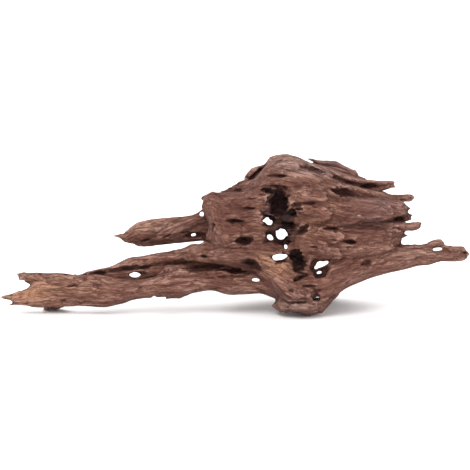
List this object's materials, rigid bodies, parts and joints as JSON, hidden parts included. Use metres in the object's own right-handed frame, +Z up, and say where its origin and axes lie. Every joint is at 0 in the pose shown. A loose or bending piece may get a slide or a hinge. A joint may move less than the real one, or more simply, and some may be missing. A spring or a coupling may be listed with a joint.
{
  "type": "honeycomb driftwood",
  "caption": "Weathered hollow root of hardwood with ridged grain, bored holes, a long beam, a side blade and a horn, lying on low feet.",
  "frame": {"origin": "on the ground under the middle of the root's bounding box", "axes": "+X along the root from the tip of the long beam to the tip of the horn, +Y from the pictured front to the back, +Z up"},
  "size_m": [0.4683, 0.1268, 0.164],
  "materials": {
    "weathered_wood": "matt, weathered, grey-brown with dark hollows"
  },
  "bodies": {
    "root": {"driftwood": "weathered_wood"}
  },
  "joints": []
}
